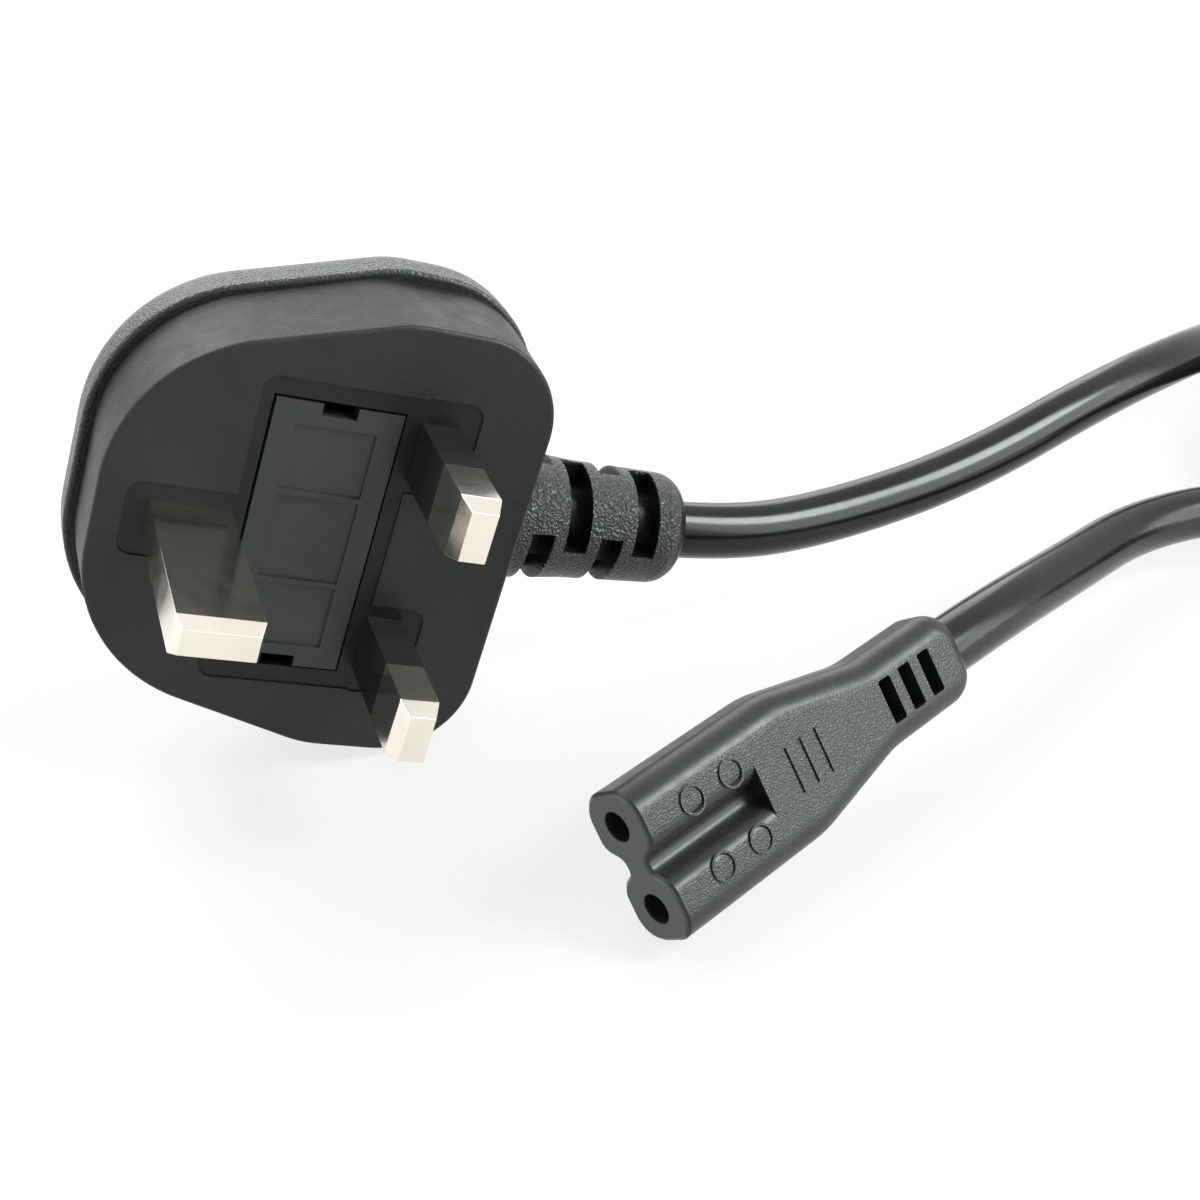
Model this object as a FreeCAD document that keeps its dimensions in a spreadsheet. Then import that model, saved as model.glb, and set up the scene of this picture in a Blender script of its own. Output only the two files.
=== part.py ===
import FreeCAD, Part
import math
import os
import Sketcher
from FreeCAD import Placement, Rotation, Vector

# Mains lead: a fused three-pin plug, a round two-core cord and a figure eight connector.
# The plug is drawn in its own frame: X from the earth pin to the cord, Y from the line
# pin to the neutral pin, Z out of the pin face. The connector is drawn with X out of its
# mouth, Y along its two holes and Z across its thickness. Two placements lay them down.

# Driving sizes, in millimetres and degrees

SIZES = {
    # plug pins
    "pin_spread": 11.1,
    "pin_thick": 4.0,
    "pin_wide": 6.35,
    "pin_out": 17.7,
    "pin_taper": 2.2,
    "pin_tip_thick": 1.4,
    "pin_tip_wide": 1.25,
    "sleeve_end": 9.0,
    "sleeve_root": 1.0,
    "sleeve_wall": 0.5,
    "earth_back": 22.2,
    "earth_long": 8.0,
    "earth_thick": 4.0,
    "earth_out": 22.73,
    "earth_taper": 1.5,
    "earth_tip_long": 1.0,
    "earth_tip_thick": 1.45,
    "earth_root": 8.5,
    # plug moulding: pin face outline
    "face_nose": -31.27,
    "face_nose_half": 16.27,
    "face_knee": -5.20,
    "face_half": 24.03,
    "face_tail": 11.7,
    "face_nose_radius": 16.9,
    "face_knee_radius": 13.4,
    "face_tail_radius": 9.4,
    # the same outline where the side wall meets the rim
    "step_down": 10.5,
    "step_nose": -31.06,
    "step_nose_half": 16.73,
    "step_knee": -6.44,
    "step_half": 24.84,
    "step_tail": 12.2,
    "step_tail_radius": 11.0,
    # rim behind the step
    "rim_nose": -32.21,
    "rim_nose_half": 17.43,
    "rim_knee": -4.96,
    "rim_half": 25.97,
    "rim_tail": 12.8,
    "rim_nose_radius": 17.6,
    "rim_knee_radius": 12.6,
    "rim_tail_radius": 12.8,
    "plug_deep": 20.3,
    "back_radius": 7.0,
    "rim_radius": 0.5,
    "face_radius": 0.4,
    # strain relief of the plug
    "relief_deep": 13.0,
    "relief_start": 12.0,
    "relief_tilt": 2.3,
    "relief_long": 23.3,
    "relief_root": 7.3,
    "relief_near": 7.1,
    "relief_mid": 6.66,
    "relief_tip": 6.3,
    "relief_inside": 8.0,
    "relief_near_at": 4.66,
    "relief_mid_at": 9.79,
    "relief_round": 3.0,
    "slot_floor": 4.3,
    "slot_wide": 2.75,
    "slot_first": 3.75,
    "slot_pitch": 4.15,
    "slot_span": 108.0,
    # pin bridge set into the pin face
    "bridge_deep": 12.2,
    "bridge_set": 0.2,
    "bridge_back": -18.1,
    "bridge_front": -1.85,
    "bridge_half": 16.8,
    "tab_back": -28.5,
    "tab_half": 4.0,
    "tab_front": 4.1,
    "tab_in": 6.5,
    "tab_out": 17.0,
    "tab_radius": 1.6,
    # fuse drawer
    "drawer_centre": -10.2,
    "drawer_half_wide": 6.4,
    "drawer_half_long": 14.6,
    "drawer_gap": 0.25,
    "drawer_plate": 2.2,
    "drawer_wall": 1.2,
    "drawer_deep": 9.4,
    "chamber_deep": 10.7,
    "notch_wide": 3.5,
    "notch_deep": 1.2,
    "saddle_half": 5.5,
    "saddle_deep": 7.6,
    "saddle_gap": 0.05,
    "saddle_mouth_half": 2.54,
    "panel_deep": 0.3,
    "panel_rib": 0.55,
    "panel_margin": 2.3,
    "panel_middle": 4.6,
    "panel_half_long": 12.2,
    # fuse
    "fuse_deep": 6.0,
    "fuse_half": 12.7,
    "cap_long": 6.0,
    "cap_radius": 3.175,
    "cap_wall": 0.275,
    "barrel_bore": 1.5,
    "wire_radius": 0.15,
    # fuse clips
    "clip_spread": 10.7,
    "clip_long": 3.0,
    "clip_thick": 0.5,
    "clip_gap": 0.15,
    "clip_top": 4.6,
    "clip_bend": 0.3,
    "tail_long": 2.0,
    # cores and crimps
    "core_radius": 1.0,
    "crimp_side": 3.2,
    "crimp_long": 7.0,
    "crimp_radius": 0.7,
    "core_spread": 1.05,
    "core_bend": 5.0,
    "core_lead": 2.6,
    "core_near": 1.5,
    # connector
    "mouth_half": 7.8,
    "mouth_thick": 7.8,
    "body_radius": 2.9,
    "shoulder": 20.6,
    "neck": 33.5,
    "neck_half": 5.1,
    "body_long": 47.8,
    "shoulder_radius": 14.0,
    "end_radius": 3.6,
    "mouth_bevel": 0.4,
    "groove_long": 14.5,
    "groove_floor": 1.7,
    "groove_floor_half": 0.65,
    "groove_lip_half": 2.0,
    "groove_lip_radius": 2.0,
    "groove_floor_radius": 1.0,
    "groove_reach": 1.4,
    "groove_over": 0.6,
    "hole_spread": 4.3,
    "hole_radius": 1.6,
    "contact_gap": 0.1,
    "contact_wall": 0.3,
    "contact_set": 3.5,
    "contact_long": 9.5,
    "contact_slit": 0.5,
    "slit_long": 7.6,
    "contact_tail": 5.5,
    "contact_floor": 1.0,
    "end_lead": 2.0,
    "end_gather": 11.0,
    "end_bend": 8.0,
    "carrier_set": 1.2,
    "carrier_long": 14.0,
    "carrier_radius": 2.55,
    "web_half": 0.65,
    "window_first": 33.5,
    "window_long": 1.9,
    "window_pitch": 3.25,
    "window_half": 2.4,
    "window_floor": 1.6,
    "window_radius": 0.3,
    "rib_first": 18.8,
    "rib_pitch": 2.2,
    "rib_wide": 0.4,
    "rib_high": 0.2,
    "ring_first": 6.25,
    "ring_second": 11.6,
    "ring_spread": 3.5,
    "ring_radius": 1.5,
    "ring_wide": 0.25,
    # cord, its coil and the tie
    "cord_radius": 3.3,
    "jacket_in": 3.0,
    "first_run": 9.8,
    "coil_x": 142.6,
    "coil_y": 80.0,
    "coil_radius": 33.0,
    "coil_columns": 3,
    "coil_layers": 2,
    "tie_thick": 0.7,
    "tie_angle": 12.0,
    # where the two ends of the lead lie
    "plug_x": -11.64,
    "plug_y": 2.17,
    "plug_z": 24.99,
    "plug_yaw": 18.87,
    "plug_pitch": 17.64,
    "plug_roll": 91.91,
    "socket_x": 11.64,
    "socket_y": -26.99,
    "socket_z": 7.51,
    "socket_yaw": -134.84,
    "socket_pitch": 3.74,
    "socket_roll": 122.93,
}

# Counts and angles of what repeats

SLOT_ANGLES = (45, 135, 225, 315)
WINDOWS = 3
RIBS = 3

# How close two values are taken as one, and how much of a run a bend may take

TOUCH = 1e-4
NEAR = 0.01
BEND_SHARE = 0.45

# Points of the cord's two loose stretches, after the straight run out of each end

PLUG_ROUTE = [
    (35.6, 34.8, 12.2),
    (54.2, 45.5, 13.5),
    (74.7, 61.2, 17.5),
    (91.0, 76.5, 17.2),
    (100.6, 89.8, 13.8),
    (108.0, 103.5, 11.2),
    (119.0, 114.5, 10.6),
]
SOCKET_ROUTE = [
    (64.2, 28.2, 9.1),
    (75.2, 40.6, 8.1),
    (89.8, 49.2, 6.8),
    (106.6, 50.8, 5.0),
    (122.4, 45.4, 4.1),
    (138.0, 39.6, 4.0),
]


class Size:
    """A number together with the sheet expression that gives it."""

    def __init__(self, value, text=None):
        self.value = float(value)
        self.text = text if text else repr(float(value))

    def __add__(self, other):
        other = as_size(other)
        return Size(self.value + other.value, f"({self.text} + {other.text})")

    def __radd__(self, other):
        return as_size(other) + self

    def __sub__(self, other):
        other = as_size(other)
        return Size(self.value - other.value, f"({self.text} - {other.text})")

    def __rsub__(self, other):
        return as_size(other) - self

    def __mul__(self, other):
        other = as_size(other)
        return Size(self.value * other.value, f"({self.text} * {other.text})")

    def __rmul__(self, other):
        return as_size(other) * self

    def __truediv__(self, other):
        other = as_size(other)
        return Size(self.value / other.value, f"({self.text} / {other.text})")

    def __neg__(self):
        return as_size(0) - self


def as_size(number):
    return number if isinstance(number, Size) else Size(number)


doc = FreeCAD.newDocument("MainsLead")
sheet = doc.addObject("Spreadsheet::Sheet", "Sizes")
for row, (alias, number) in enumerate(SIZES.items(), start=1):
    sheet.set(f"A{row}", alias)
    sheet.set(f"B{row}", str(number))
    sheet.setAlias(f"B{row}", alias)
doc.recompute()


def size(alias):
    return Size(SIZES[alias], f"Sizes.{alias}")


PLUG = Placement(
    Vector(SIZES["plug_x"], SIZES["plug_y"], SIZES["plug_z"]),
    Rotation(SIZES["plug_yaw"], SIZES["plug_pitch"], SIZES["plug_roll"]),
)
SOCKET = Placement(
    Vector(SIZES["socket_x"], SIZES["socket_y"], SIZES["socket_z"]),
    Rotation(SIZES["socket_yaw"], SIZES["socket_pitch"], SIZES["socket_roll"]),
)


# Helpers for bodies and sketches


def bind(target, path, amount):
    target.setExpression(path, as_size(amount).text)


def new_body(name, placement):
    body = doc.addObject("PartDesign::Body", name)
    body.Label = name
    body.Placement = placement
    return body


def new_sketch(body, name, role, offset=0, turn=None, base=None):
    """A sketch on one of the body's own origin planes, moved along that plane's normal."""
    sketch = body.newObject("Sketcher::SketchObject", name)
    plane = next(f for f in body.Origin.OriginFeatures if f.Role == role)
    sketch.AttachmentSupport = [(plane, "")]
    sketch.MapMode = "FlatFace"
    x, y, z = base if base else (as_size(0), as_size(0), as_size(offset))
    sketch.AttachmentOffset = Placement(
        Vector(x.value, y.value, z.value), turn if turn else Rotation()
    )
    bind(sketch, "AttachmentOffset.Base.x", x)
    bind(sketch, "AttachmentOffset.Base.y", y)
    bind(sketch, "AttachmentOffset.Base.z", z)
    return sketch


def constrain(sketch, kind, *terms, amount=None):
    """Adds one constraint and binds its value, when it has one, to the sheet."""
    if amount is None:
        sketch.addConstraint(Sketcher.Constraint(kind, *terms))
        return
    amount = as_size(amount)
    index = sketch.addConstraint(Sketcher.Constraint(kind, *terms, amount.value))
    bind(sketch, f"Constraints[{index}]", amount)


def pin_point(sketch, geometry, position, x, y):
    constrain(sketch, "DistanceX", -1, 1, geometry, position, amount=x)
    constrain(sketch, "DistanceY", -1, 1, geometry, position, amount=y)


def rounding(before, corner, after, radius):
    """Where an arc of this radius leaves and meets the two lines of a corner."""
    inward = (before - corner).normalize()
    outward = (after - corner).normalize()
    half = inward.getAngle(outward) / 2
    reach = radius / math.tan(half)
    middle = (inward + outward).normalize() * (radius / math.sin(half))
    return corner + inward * reach, corner + outward * reach, corner + middle


def draw(sketch, corners, closed=True):
    """Lines through the corners (x, y, radius or None), with tangent arcs at the radii."""
    points = [Vector(as_size(x).value, as_size(y).value, 0) for x, y, _ in corners]
    count = len(points)
    starts = list(points)
    ends = list(points)
    arcs = {}
    for i, (x, y, radius) in enumerate(corners):
        if radius is None:
            continue
        before, after = points[i - 1], points[(i + 1) % count]
        ends[i], starts[i], centre = rounding(before, points[i], after, as_size(radius).value)
        arcs[i] = centre
    legs = count if closed else count - 1
    lines = []
    for i in range(legs):
        segment = Part.LineSegment(starts[i], ends[(i + 1) % count])
        lines.append(sketch.addGeometry(segment, False))
    for i, (x, y, radius) in enumerate(corners):
        if i in arcs:
            round_corner(sketch, lines, i, arcs[i], (ends[i], starts[i]), (x, y, radius))
        elif closed or 0 < i < count - 1:
            constrain(sketch, "Coincident", lines[i - 1], 2, lines[i], 1)
            pin_point(sketch, lines[i], 1, x, y)
        elif i == 0:
            pin_point(sketch, lines[0], 1, x, y)
        else:
            pin_point(sketch, lines[-1], 2, x, y)


def round_corner(sketch, lines, i, centre, touches, corner):
    first, last = touches[0] - centre, touches[1] - centre
    left_turn = first.cross(last).z > 0
    start, end = (first, last) if left_turn else (last, first)
    circle = Part.Circle(centre, Vector(0, 0, 1), first.Length)
    angles = (math.atan2(start.y, start.x), math.atan2(end.y, end.x))
    arc = sketch.addGeometry(Part.ArcOfCircle(circle, *angles), False)
    into, away = (1, 2) if left_turn else (2, 1)
    constrain(sketch, "Tangent", lines[i - 1], 2, arc, into)
    constrain(sketch, "Tangent", arc, away, lines[i], 1)
    constrain(sketch, "Radius", arc, amount=corner[2])
    where = Vector(as_size(corner[0]).value, as_size(corner[1]).value, 0)
    mark = sketch.addGeometry(Part.Point(where), True)
    constrain(sketch, "PointOnObject", mark, 1, lines[i - 1])
    constrain(sketch, "PointOnObject", mark, 1, lines[i])
    pin_point(sketch, mark, 1, corner[0], corner[1])


def rectangle(sketch, x0, x1, y0, y1, radius=None):
    draw(sketch, [(x0, y0, radius), (x1, y0, radius), (x1, y1, radius), (x0, y1, radius)])


def disc(sketch, x, y, radius):
    where = Vector(as_size(x).value, as_size(y).value, 0)
    circle = Part.Circle(where, Vector(0, 0, 1), as_size(radius).value)
    index = sketch.addGeometry(circle, False)
    pin_point(sketch, index, 3, x, y)
    constrain(sketch, "Radius", index, amount=radius)


def extrude(body, kind, sketch, length, backwards=False):
    """Pads or pockets a sketch; both go along the sketch's normal unless backwards."""
    feature = body.newObject(f"PartDesign::{kind}", f"{sketch.Name}{kind}")
    feature.Profile = sketch
    feature.Type = "Length"
    feature.Length = as_size(length).value
    bind(feature, "Length", length)
    feature.Reversed = backwards if kind == "Pad" else not backwards
    sketch.Visibility = False
    body.Tip = feature
    return feature


def pad(body, sketch, length, backwards=False):
    return extrude(body, "Pad", sketch, length, backwards)


def pocket(body, sketch, length, backwards=False):
    return extrude(body, "Pocket", sketch, length, backwards)


def spin(body, sketch, angle, axis="V_Axis", kind="Revolution"):
    """Turns a sketch about one of its own axes, to add a solid or to cut one away."""
    turned = body.newObject(f"PartDesign::{kind}", f"{sketch.Name}{kind}")
    turned.Profile = sketch
    turned.ReferenceAxis = (sketch, [axis])
    turned.Angle = as_size(angle).value
    bind(turned, "Angle", angle)
    sketch.Visibility = False
    body.Tip = turned


def block(body, name, x, y, z, kind="Pad"):
    """A box between two values on each axis, padded or pocketed upwards along Z."""
    sketch = new_sketch(body, name, "XY_Plane", z[0])
    rectangle(sketch, x[0], x[1], y[0], y[1])
    return extrude(body, kind, sketch, as_size(z[1]) - z[0])


def edge_names(shape, wanted):
    return [f"Edge{i}" for i, edge in enumerate(shape.Edges, start=1) if wanted(edge.BoundBox)]


def dress(body, kind, name, base, wanted, amount):
    """Fillets or chamfers the edges of the last feature that a test picks out."""
    doc.recompute()
    feature = body.newObject(f"PartDesign::{kind}", name)
    feature.Base = (base, edge_names(base.Shape, wanted))
    path = "Radius" if kind == "Fillet" else "Size"
    setattr(feature, path, as_size(amount).value)
    bind(feature, path, amount)
    body.Tip = feature
    return feature


def level(low, high, value):
    return abs(low - value) < TOUCH and abs(high - value) < TOUCH


def merged(name, members):
    fuse = doc.addObject("Part::MultiFuse", name)
    fuse.Shapes = members
    return fuse


def carved(name, blank, tool):
    """The blank with the exact room of the pieces that lie in it."""
    cut = doc.addObject("Part::Cut", name)
    cut.Label = name
    cut.Base = blank
    cut.Tool = tool
    return cut


def strand(name, placement, plane, start, route, deep):
    """A core of the cord: a round section swept along a flat route."""
    body = new_body(name, placement)
    path = new_sketch(body, f"{name}Route", "XY_Plane", deep)
    draw(path, route, closed=False)
    section = new_sketch(body, f"{name}Section", plane, start[2])
    disc(section, start[0], start[1], size("core_radius"))
    sweep = body.newObject("PartDesign::AdditivePipe", f"{name}Sweep")
    sweep.Profile = section
    sweep.Spine = (path, [f"Edge{i + 1}" for i in range(path_edges(route))])
    path.Visibility = False
    section.Visibility = False
    body.Tip = sweep
    return body


def jacket_hole(body, name, x, y, z, inward, turn=None):
    """The round hole in the end of a moulding that the cord's jacket goes into."""
    sketch = new_sketch(body, name, "YZ_Plane", turn=turn, base=(y, z, x))
    disc(sketch, 0, 0, size("cord_radius"))
    pocket(body, sketch, size("jacket_in"), backwards=inward)


def path_edges(route):
    return len(route) - 1 + sum(1 for corner in route if corner[2] is not None)


# Plug pins


def tapered(body, name, centre, half, top, tip):
    """The last part of a pin, drawn in to a smaller end."""
    lower = new_sketch(body, f"{name}Low", "XY_Plane", top - tip[0])
    upper = new_sketch(body, f"{name}High", "XY_Plane", top)
    x, y = centre
    rectangle(lower, x - half[0], x + half[0], y - half[1], y + half[1])
    short = (half[0] - tip[1], half[1] - tip[2])
    rectangle(upper, x - short[0], x + short[0], y - short[1], y + short[1])
    loft = body.newObject("PartDesign::AdditiveLoft", f"{name}Tip")
    loft.Profile = lower
    loft.Sections = [upper]
    loft.Ruled = True
    lower.Visibility = False
    upper.Visibility = False
    body.Tip = loft


def live_pin(name, y, root):
    """A flat pin: full section at its end, thinner where its sleeve lies, full in the bridge."""
    body = new_body(name, PLUG)
    half = (size("pin_thick") / 2, size("pin_wide") / 2)
    wall = size("sleeve_wall")
    below, under, top = -size("sleeve_root"), size("sleeve_end"), size("pin_out")
    shoulder = top - size("pin_taper")
    x_full, y_full = (-half[0], half[0]), (y - half[1], y + half[1])
    x_thin = (wall - half[0], half[0] - wall)
    y_thin = (y - half[1] + wall, y + half[1] - wall)
    block(body, f"{name}Root", x_full, y_full, (root, below))
    block(body, f"{name}Waist", x_thin, y_thin, (below, under))
    block(body, f"{name}Blade", x_full, y_full, (under, shoulder))
    tip = (size("pin_taper"), size("pin_tip_thick") / 2, size("pin_tip_wide") / 2)
    tapered(body, name, (as_size(0), y), half, top, tip)
    return body


def pin_sleeve(name, y):
    body = new_body(name, PLUG)
    half = (size("pin_thick") / 2, size("pin_wide") / 2)
    wall = size("sleeve_wall")
    sketch = new_sketch(body, f"{name}Ring", "XY_Plane", -size("sleeve_root"))
    rectangle(sketch, -half[0], half[0], y - half[1], y + half[1])
    inner = (half[0] - wall, half[1] - wall)
    rectangle(sketch, -inner[0], inner[0], y - inner[1], y + inner[1])
    pad(body, sketch, size("sleeve_end") + size("sleeve_root"))
    return body


def make_earth_pin():
    body = new_body("earth_pin", PLUG)
    x = -size("earth_back")
    half = (size("earth_long") / 2, size("earth_thick") / 2)
    top = size("earth_out")
    z = (-size("earth_root"), top - size("earth_taper"))
    block(body, "EarthBlade", (x - half[0], x + half[0]), (-half[1], half[1]), z)
    tip = (size("earth_taper"), size("earth_tip_long") / 2, size("earth_tip_thick") / 2)
    tapered(body, "Earth", (x, as_size(0)), half, top, tip)
    return body


# Fuse drawer, fuse and clips


def drawer_sides(grow=0):
    centre, half = size("drawer_centre"), size("drawer_half_wide") + grow
    return centre - half, centre + half


def make_drawer():
    body = new_body("fuse_carrier", PLUG)
    x0, x1 = drawer_sides()
    y = size("drawer_half_long")
    wall, plate, deep = size("drawer_wall"), size("drawer_plate"), size("drawer_deep")
    block(body, "DrawerPlate", (x0, x1), (-y, y), (-plate, 0))
    block(body, "DrawerBack", (x0, x0 + wall), (-y, y), (-deep, -plate))
    block(body, "DrawerFront", (x1 - wall, x1), (-y, y), (-deep, -plate))
    saddle = size("saddle_half")
    block(body, "Saddle", (x0 + wall, x1 - wall), (-saddle, saddle), (-size("saddle_deep"), -plate))
    centre = size("drawer_centre")
    radius = size("cap_radius") - size("cap_wall") + size("saddle_gap")
    bore = new_sketch(body, "SaddleBore", "XZ_Plane", -saddle)
    disc(bore, centre, -size("fuse_deep"), radius)
    pocket(body, bore, saddle * 2)
    mouth = (centre - size("saddle_mouth_half"), centre + size("saddle_mouth_half"))
    block(body, "SaddleMouth", mouth, (-saddle, saddle), (-deep, -size("fuse_deep")), "Pocket")
    half = size("notch_wide") / 2
    cut = size("notch_deep")
    for label, sides in (("Near", (-y, cut - y)), ("Far", (y - cut, y))):
        block(body, f"Notch{label}", (centre - half, centre + half), sides, (-plate, 0), "Pocket")
    drawer_panels(body, x0 + size("panel_margin"), x1 - size("panel_margin"))
    return body


def drawer_panels(body, x0, x1):
    """Three shallow panels between ribs on the outside of the drawer."""
    end, middle, rib = size("panel_half_long"), size("panel_middle"), size("panel_rib")
    spans = ((-end, -middle - rib), (-middle, middle), (middle + rib, end))
    sketch = new_sketch(body, "Panels", "XY_Plane", -size("panel_deep"))
    for low, high in spans:
        rectangle(sketch, x0, x1, low, high)
    pocket(body, sketch, size("panel_deep"))


def fuse_axis():
    return size("drawer_centre"), -size("fuse_deep")


def fuse_cap(name, outer, inner, mouth_up):
    """A brass cup on one end of the fuse."""
    body = new_body(name, PLUG)
    low, high = (inner, outer) if mouth_up else (outer, inner)
    x, z = fuse_axis()
    sketch = new_sketch(body, f"{name}Cup", "XZ_Plane", -high)
    disc(sketch, x, z, size("cap_radius"))
    pad(body, sketch, high - low)
    depth = size("cap_long") - size("clip_thick")
    start = -high if not mouth_up else -(high - size("clip_thick"))
    hollow = new_sketch(body, f"{name}Hollow", "XZ_Plane", start)
    disc(hollow, x, z, size("cap_radius") - size("cap_wall"))
    pocket(body, hollow, depth)
    return body


def fuse_rod(name, outer, inner, half):
    body = new_body(name, PLUG)
    x, z = fuse_axis()
    sketch = new_sketch(body, f"{name}Ring", "XZ_Plane", -half)
    disc(sketch, x, z, outer)
    if inner is not None:
        disc(sketch, x, z, inner)
    pad(body, sketch, half * 2)
    return body


def clip(name, y):
    """A sprung U that takes one cap, its foot on the floor of the chamber."""
    body = new_body(name, PLUG)
    centre, thick = size("drawer_centre"), size("clip_thick")
    inner = size("cap_radius") + size("clip_gap")
    outer = inner + thick
    floor, top = -size("chamber_deep"), -size("clip_top")
    half = size("clip_long") / 2
    bend = size("clip_bend")
    sketch = new_sketch(body, f"{name}Bend", "XZ_Plane", -(y + half))
    corners = [
        (centre - outer, top, None),
        (centre - outer, floor, bend + thick),
        (centre + outer, floor, bend + thick),
        (centre + outer, top, None),
        (centre + inner, top, None),
        (centre + inner, floor + thick, bend),
        (centre - inner, floor + thick, bend),
        (centre - inner, top, None),
    ]
    draw(sketch, corners)
    pad(body, sketch, half * 2)
    return body, half


def make_line_clip():
    """This clip's foot runs on under the root of the line pin."""
    y = -size("clip_spread")
    body, half = clip("line_fuse_clip", y)
    floor = -size("chamber_deep")
    x = (size("drawer_centre"), size("pin_thick") / 2)
    block(body, "Strap", x, (y - half, y + half), (floor, floor + size("clip_thick")))
    return body


def make_supply_clip():
    """This clip has a tail through the floor, down to its crimp."""
    y = size("clip_spread")
    body, half = clip("supply_fuse_clip", y)
    centre, tail = size("drawer_centre"), size("tail_long") / 2
    thick = size("clip_thick") / 2
    floor = -size("chamber_deep")
    x = (centre - thick, centre + thick)
    block(body, "Tail", x, (y - tail, y + tail), (-size("bridge_deep"), floor))
    return body


# Crimps and cores in the plug


def crimp_deep():
    return -size("bridge_deep") - size("crimp_side") / 2


def crimp(name, plane, across, offset):
    """A square barrel round the end of a core."""
    body = new_body(name, PLUG)
    half = size("crimp_side") / 2
    deep = crimp_deep()
    sketch = new_sketch(body, f"{name}Ring", plane, offset)
    rectangle(sketch, across - half, across + half, deep - half, deep + half, size("crimp_radius"))
    disc(sketch, across, deep, size("core_radius"))
    pad(body, sketch, size("crimp_long"))
    return body


def relief_line(x, side):
    """How far a core lies from the middle at this distance along the tilted relief."""
    slope = math.tan(math.radians(SIZES["relief_tilt"]))
    return (x - size("relief_start")) * slope + side


def core_end(side):
    """Where a core meets the end of the cord's jacket inside the tilted relief."""
    lean = math.radians(SIZES["relief_tilt"])
    along = (size("relief_long") - size("jacket_in")) * math.cos(lean)
    end = size("relief_start") + along - side * math.sin(lean)
    return end, relief_line(end, side), None


def make_plug_cores():
    deep = crimp_deep()
    spread, bend = size("core_spread"), size("core_bend")
    y = size("pin_spread")
    blue_start = -size("pin_thick") / 2
    near = size("relief_start") + size("core_near")
    blue = [
        (blue_start, y, None),
        (blue_start + size("crimp_long") + size("core_lead"), y, bend),
        (near, relief_line(near, spread), bend),
        core_end(spread),
    ]
    blue_core = strand("blue_core", PLUG, "YZ_Plane", (y, deep, blue_start), blue, deep)
    centre = size("drawer_centre")
    top = size("clip_spread") + size("tail_long") / 2
    brown = [
        (centre, top, None),
        (centre, relief_line(centre, -spread), bend),
        core_end(-spread),
    ]
    brown_core = strand("brown_core", PLUG, "XZ_Plane", (centre, deep, -top), brown, deep)
    return blue_core, brown_core


# Pin bridge and plug moulding


def bridge_outline(sketch):
    back, front, half = size("bridge_back"), size("bridge_front"), size("bridge_half")
    tab_back, tab_half = size("tab_back"), size("tab_half")
    ahead, inside, outside = size("tab_front"), size("tab_in"), size("tab_out")
    radius = size("tab_radius")
    corners = [
        (tab_back, tab_half, radius),
        (tab_back, -tab_half, radius),
        (back, -tab_half, None),
        (back, -half, radius),
        (front, -half, None),
        (front, -outside, None),
        (ahead, -outside, radius),
        (ahead, -inside, radius),
        (front, -inside, None),
        (front, inside, None),
        (ahead, inside, radius),
        (ahead, outside, radius),
        (front, outside, None),
        (front, half, None),
        (back, half, radius),
        (back, tab_half, None),
    ]
    draw(sketch, corners)


def make_bridge(tools):
    blank = new_body("bridge_blank", PLUG)
    sketch = new_sketch(blank, "BridgeOutline", "XY_Plane", -size("bridge_deep"))
    bridge_outline(sketch)
    pad(blank, sketch, size("bridge_deep") - size("bridge_set"))
    gap = size("drawer_gap")
    x = drawer_sides(gap)
    y = size("drawer_half_long") + gap
    block(blank, "Chamber", x, (-y, y), (-size("chamber_deep"), 0), "Pocket")
    return carved("pin_bridge", blank, merged("BridgeRoom", tools))


def plug_outline(sketch, key, radii):
    nose, nose_half = size(f"{key}_nose"), size(f"{key}_nose_half")
    knee, half, tail = size(f"{key}_knee"), size(f"{key}_half"), size(f"{key}_tail")
    corners = [
        (nose, nose_half, radii[0]),
        (nose, -nose_half, radii[0]),
        (knee, -half, radii[1]),
        (tail, -half, radii[2]),
        (tail, half, radii[2]),
        (knee, half, radii[1]),
    ]
    draw(sketch, corners)


def make_plug_blank():
    body = new_body("plug_blank", PLUG)
    step, deep = size("step_down"), size("plug_deep")
    nose, knee = size("face_nose_radius"), size("face_knee_radius")
    face = new_sketch(body, "FaceOutline", "XY_Plane", 0)
    plug_outline(face, "face", (nose, knee, size("face_tail_radius")))
    inner = new_sketch(body, "StepOutline", "XY_Plane", -step)
    plug_outline(inner, "step", (nose, knee, size("step_tail_radius")))
    loft = body.newObject("PartDesign::AdditiveLoft", "SideWall")
    loft.Profile = face
    loft.Sections = [inner]
    loft.Ruled = True
    face.Visibility = False
    inner.Visibility = False
    body.Tip = loft
    top = dress(body, "Fillet", "FaceEdge", loft, on_level("Z", 0), size("face_radius"))
    rim = new_sketch(body, "RimOutline", "XY_Plane", -deep)
    radii = (size("rim_nose_radius"), size("rim_knee_radius"), size("rim_tail_radius"))
    plug_outline(rim, "rim", radii)
    back = pad(body, rim, deep - step)
    back = dress(body, "Fillet", "BackEdge", back, on_level("Z", -deep.value), size("back_radius"))
    dress(body, "Fillet", "RimEdge", back, rim_edge(step.value), size("rim_radius"))
    relief(body)
    room = new_sketch(body, "BridgeRoomOutline", "XY_Plane", -size("bridge_deep"))
    bridge_outline(room)
    pocket(body, room, size("bridge_deep"))
    return body


def on_level(axis, value):
    return lambda box: level(getattr(box, axis + "Min"), getattr(box, axis + "Max"), value)


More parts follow.
